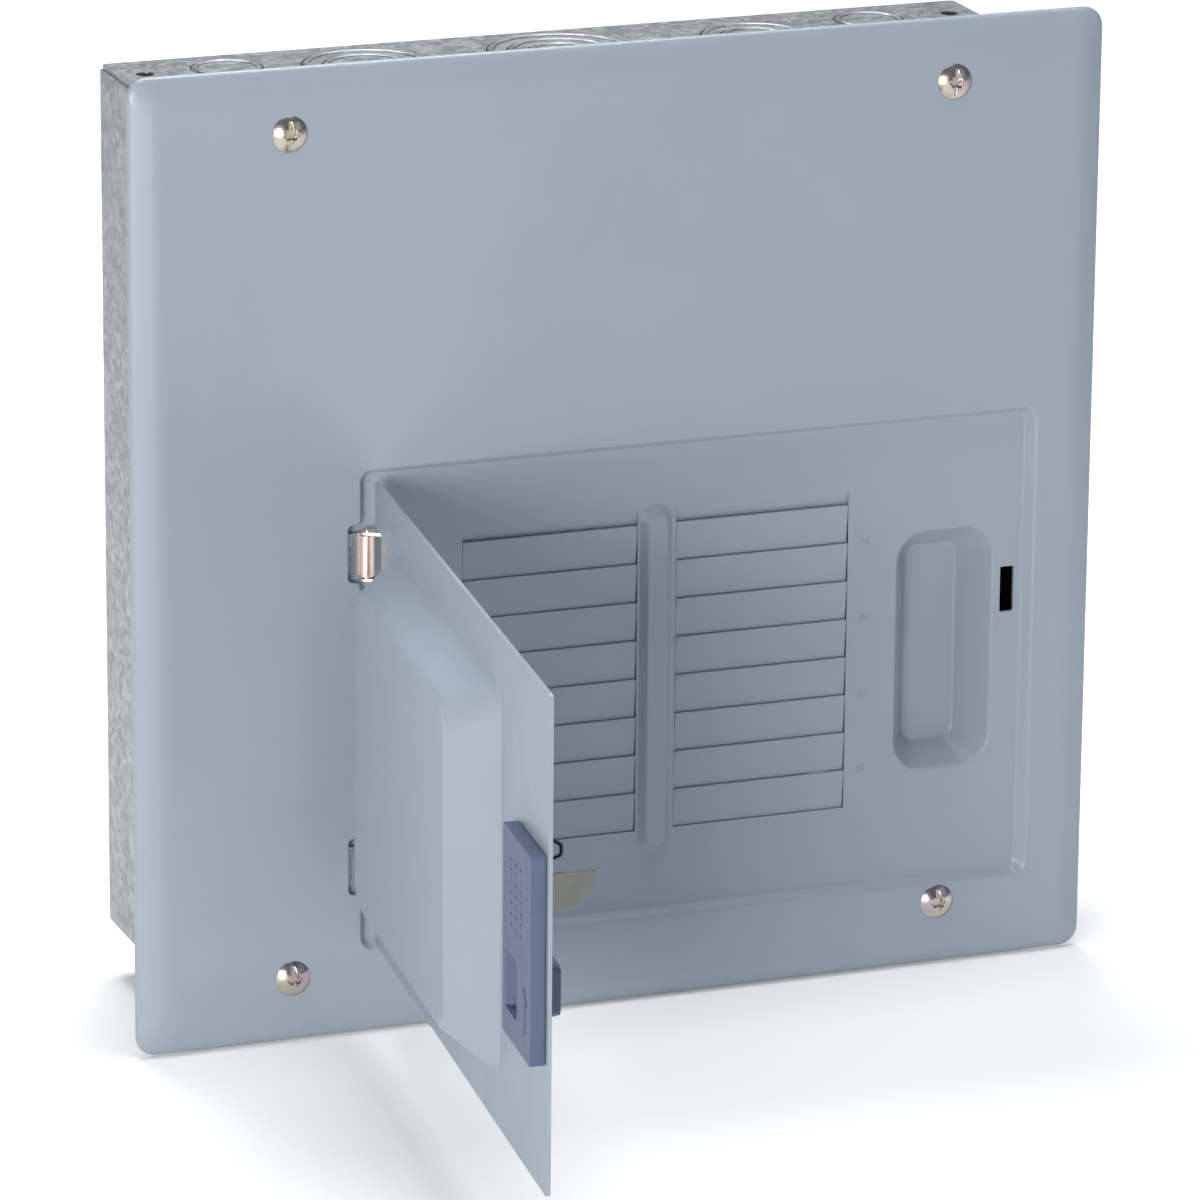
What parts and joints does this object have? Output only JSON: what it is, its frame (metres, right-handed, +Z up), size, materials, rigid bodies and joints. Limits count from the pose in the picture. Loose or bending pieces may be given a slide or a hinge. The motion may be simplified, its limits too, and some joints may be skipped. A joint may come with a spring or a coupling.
{
  "type": "subpanel enclosure",
  "caption": "Wall-mounted sheet-metal electrical subpanel with a beveled cover, half-inch twistouts, a small hinged door with a sliding latch, and knockouts in the box.",
  "frame": {"origin": "on the wall plane behind the box, on the centre of the front cover and of the wall screw pattern", "axes": "+X to the right seen from the front, +Z up, the front faces -Y, +Y into the wall"},
  "size_m": [0.3224, 0.3084, 0.314],
  "materials": {
    "paint": "satin blue-grey enamel",
    "galvanised": "galvanised, soft spangle",
    "plated_steel": "yellow zinc plate",
    "zinc_steel": "bright zinc plate",
    "green_screw": "green dyed zinc",
    "latch_plastic": "moulded, fine texture",
    "spring_wire": "black oxide",
    "black_plastic": "moulded phenolic",
    "white_plastic": "moulded nylon",
    "tin_aluminium": "tin plated"
  },
  "bodies": {
    "enclosure": {"cover": "paint", "twistouts_left": "paint", "twistouts_right": "paint", "box_wrapper": "galvanised", "top_end_wall": "galvanised", "bottom_end_wall": "galvanised", "top_knockouts": "galvanised", "bottom_knockouts": "galvanised", "side_knockouts": "galvanised", "interior_pan": "galvanised", "breaker_rail_left": "galvanised", "breaker_rail_right": "galvanised", "bonding_strap": "galvanised", "cover_screws": "plated_steel", "hinge_leaf_cover_upper": "plated_steel", "hinge_leaf_cover_lower": "plated_steel", "hinge_pin_upper": "plated_steel", "hinge_pin_lower": "plated_steel", "interior_screws": "zinc_steel", "ground_bar_fixings": "zinc_steel", "neutral_bar_fixings": "zinc_steel", "ground_bar_screws": "zinc_steel", "neutral_bar_screws": "zinc_steel", "main_lug_screws": "zinc_steel", "bonding_screw": "green_screw", "insulating_base": "black_plastic", "neutral_insulators": "white_plastic", "bus_bar_a": "tin_aluminium", "bus_bar_b": "tin_aluminium", "main_lug_a": "tin_aluminium", "main_lug_b": "tin_aluminium", "ground_bar": "tin_aluminium", "neutral_bar": "tin_aluminium"},
    "door": {"door_panel": "paint", "hinge_leaf_door_upper": "plated_steel", "hinge_leaf_door_lower": "plated_steel", "door_hinge_rivets": "zinc_steel", "latch_spring": "spring_wire", "spring_hook": "galvanised"},
    "latch": {"latch_plate": "latch_plastic", "latch_bolt": "plated_steel", "latch_rivet": "zinc_steel", "latch_retainer": "galvanised"}
  },
  "joints": [
    {"name": "door_hinge", "type": "hinge", "parent": "enclosure", "child": "door", "pos_m": [-0.0865, -0.086, -0.0495], "axis": [0, 0, 1], "range_deg": [-15, 96.3]},
    {"name": "latch_lift", "type": "slide", "parent": "door", "child": "latch", "axis": [0, 0, 1], "range_m": [0, 0.0032], "stiffness_N_per_m": 400, "springref_m": -0.004, "deforming": ["latch_spring"]}
  ]
}
